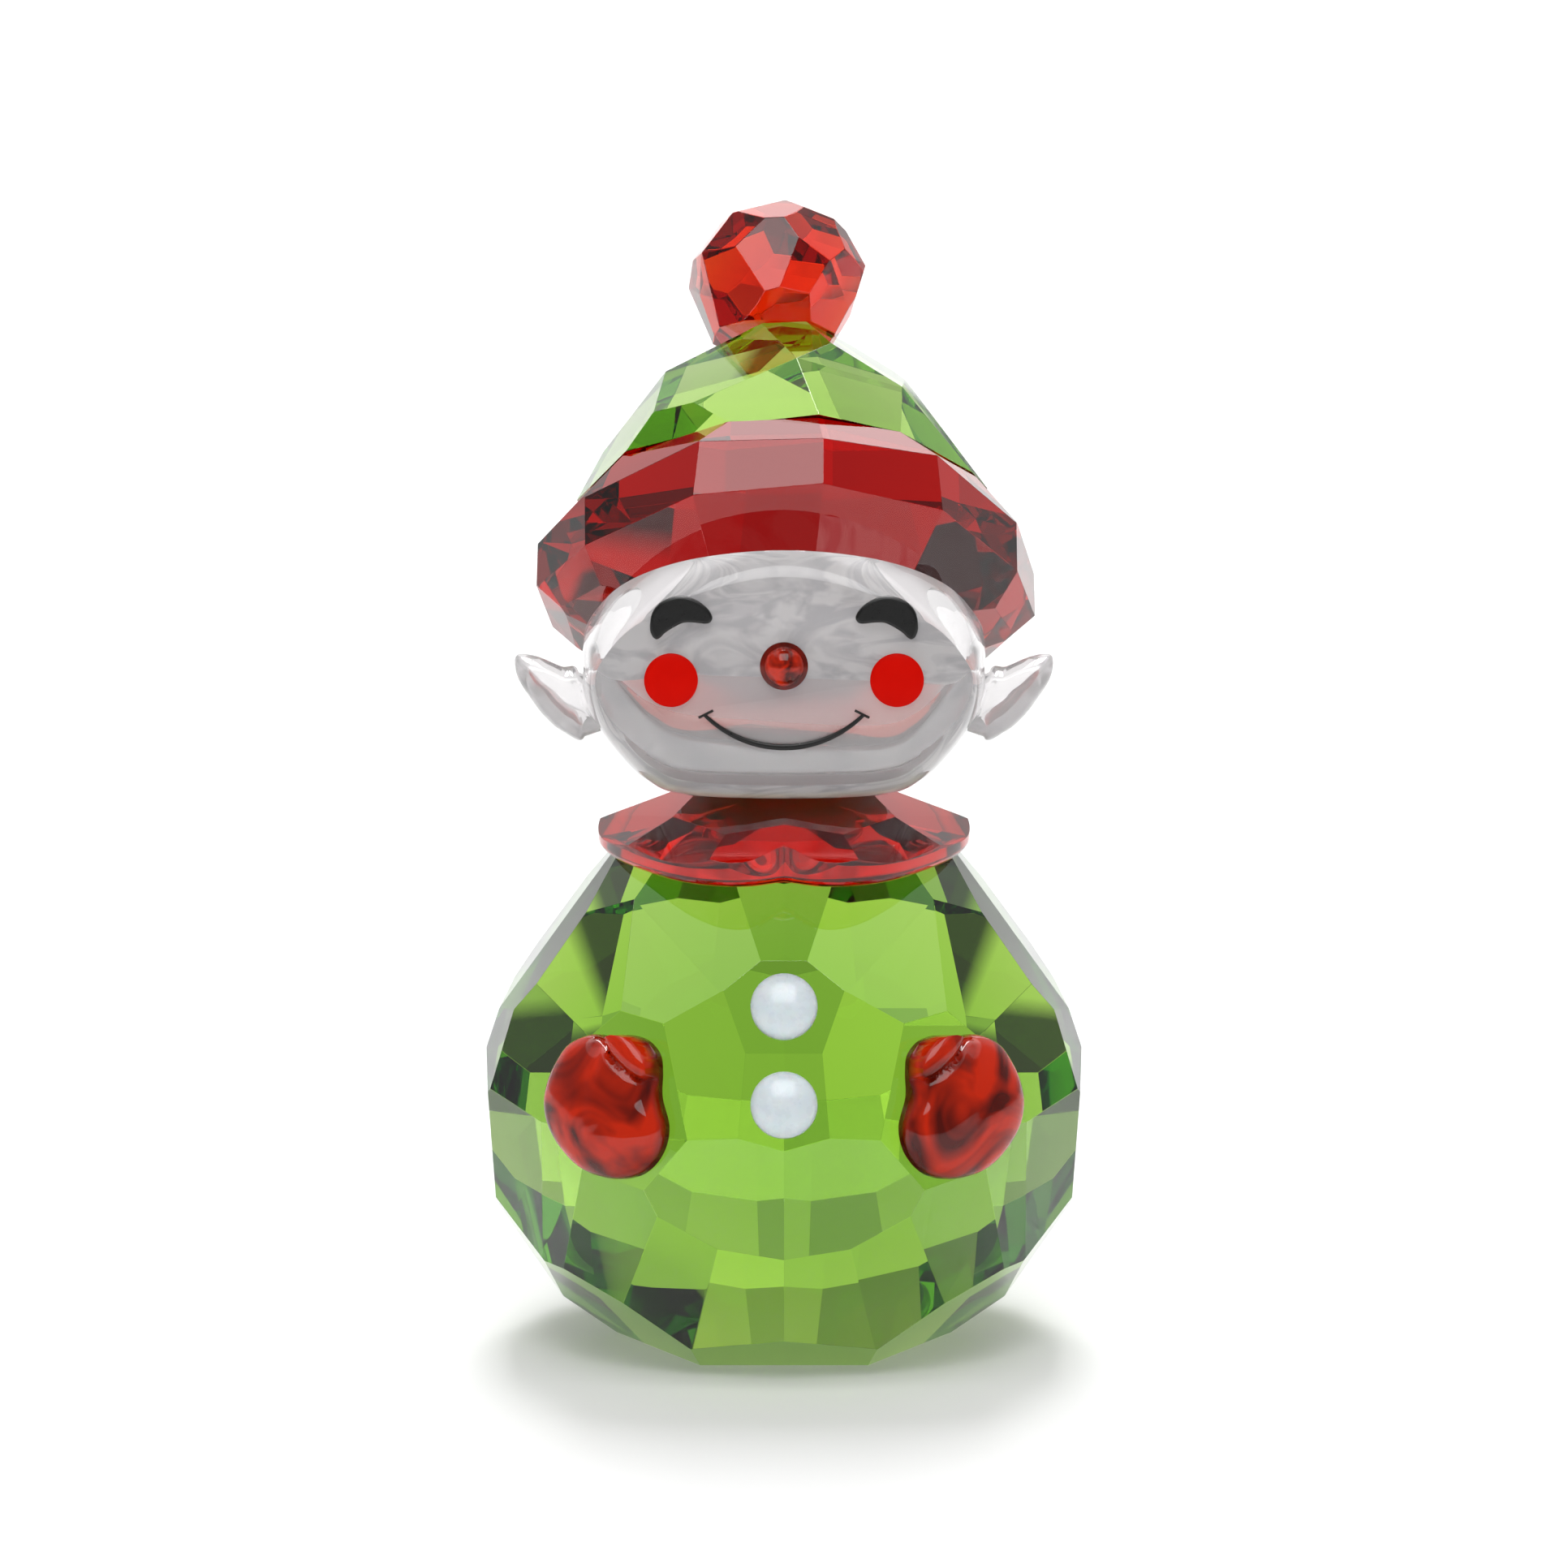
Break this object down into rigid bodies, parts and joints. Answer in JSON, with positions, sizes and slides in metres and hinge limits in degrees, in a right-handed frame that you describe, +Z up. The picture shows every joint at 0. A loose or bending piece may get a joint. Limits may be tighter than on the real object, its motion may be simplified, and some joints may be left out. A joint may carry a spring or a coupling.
{
  "type": "elf figurine",
  "caption": "Small elf ornament of faceted coloured glass stones glued in a stack: green body, red collar, clear smiling head with ears, and a green hat with a red brim and a red ball on top.",
  "frame": {"origin": "middle of the flat base, where the figurine stands", "axes": "+Z up, the face looks along -Y, +X is to the right of a viewer who faces the elf"},
  "size_m": [0.0294, 0.0353, 0.0539],
  "materials": {
    "green_glass": "polished yellow-green cut glass",
    "red_glass": "polished orange-red cut glass",
    "clear_glass": "clear polished glass",
    "white_enamel": "glossy pale opal white",
    "red_enamel": "opaque satin red",
    "black_enamel": "opaque satin black"
  },
  "bodies": {
    "root": {"body": "green_glass", "hat_cone": "green_glass", "collar": "red_glass", "hat_brim": "red_glass", "pompom": "red_glass", "nose": "red_glass", "mitten_left": "red_glass", "mitten_right": "red_glass", "head": "clear_glass", "ear_left": "clear_glass", "ear_right": "clear_glass", "button_upper": "white_enamel", "button_lower": "white_enamel", "cheek_left": "red_enamel", "cheek_right": "red_enamel", "eye_left": "black_enamel", "eye_right": "black_enamel", "mouth": "black_enamel"}
  },
  "joints": []
}
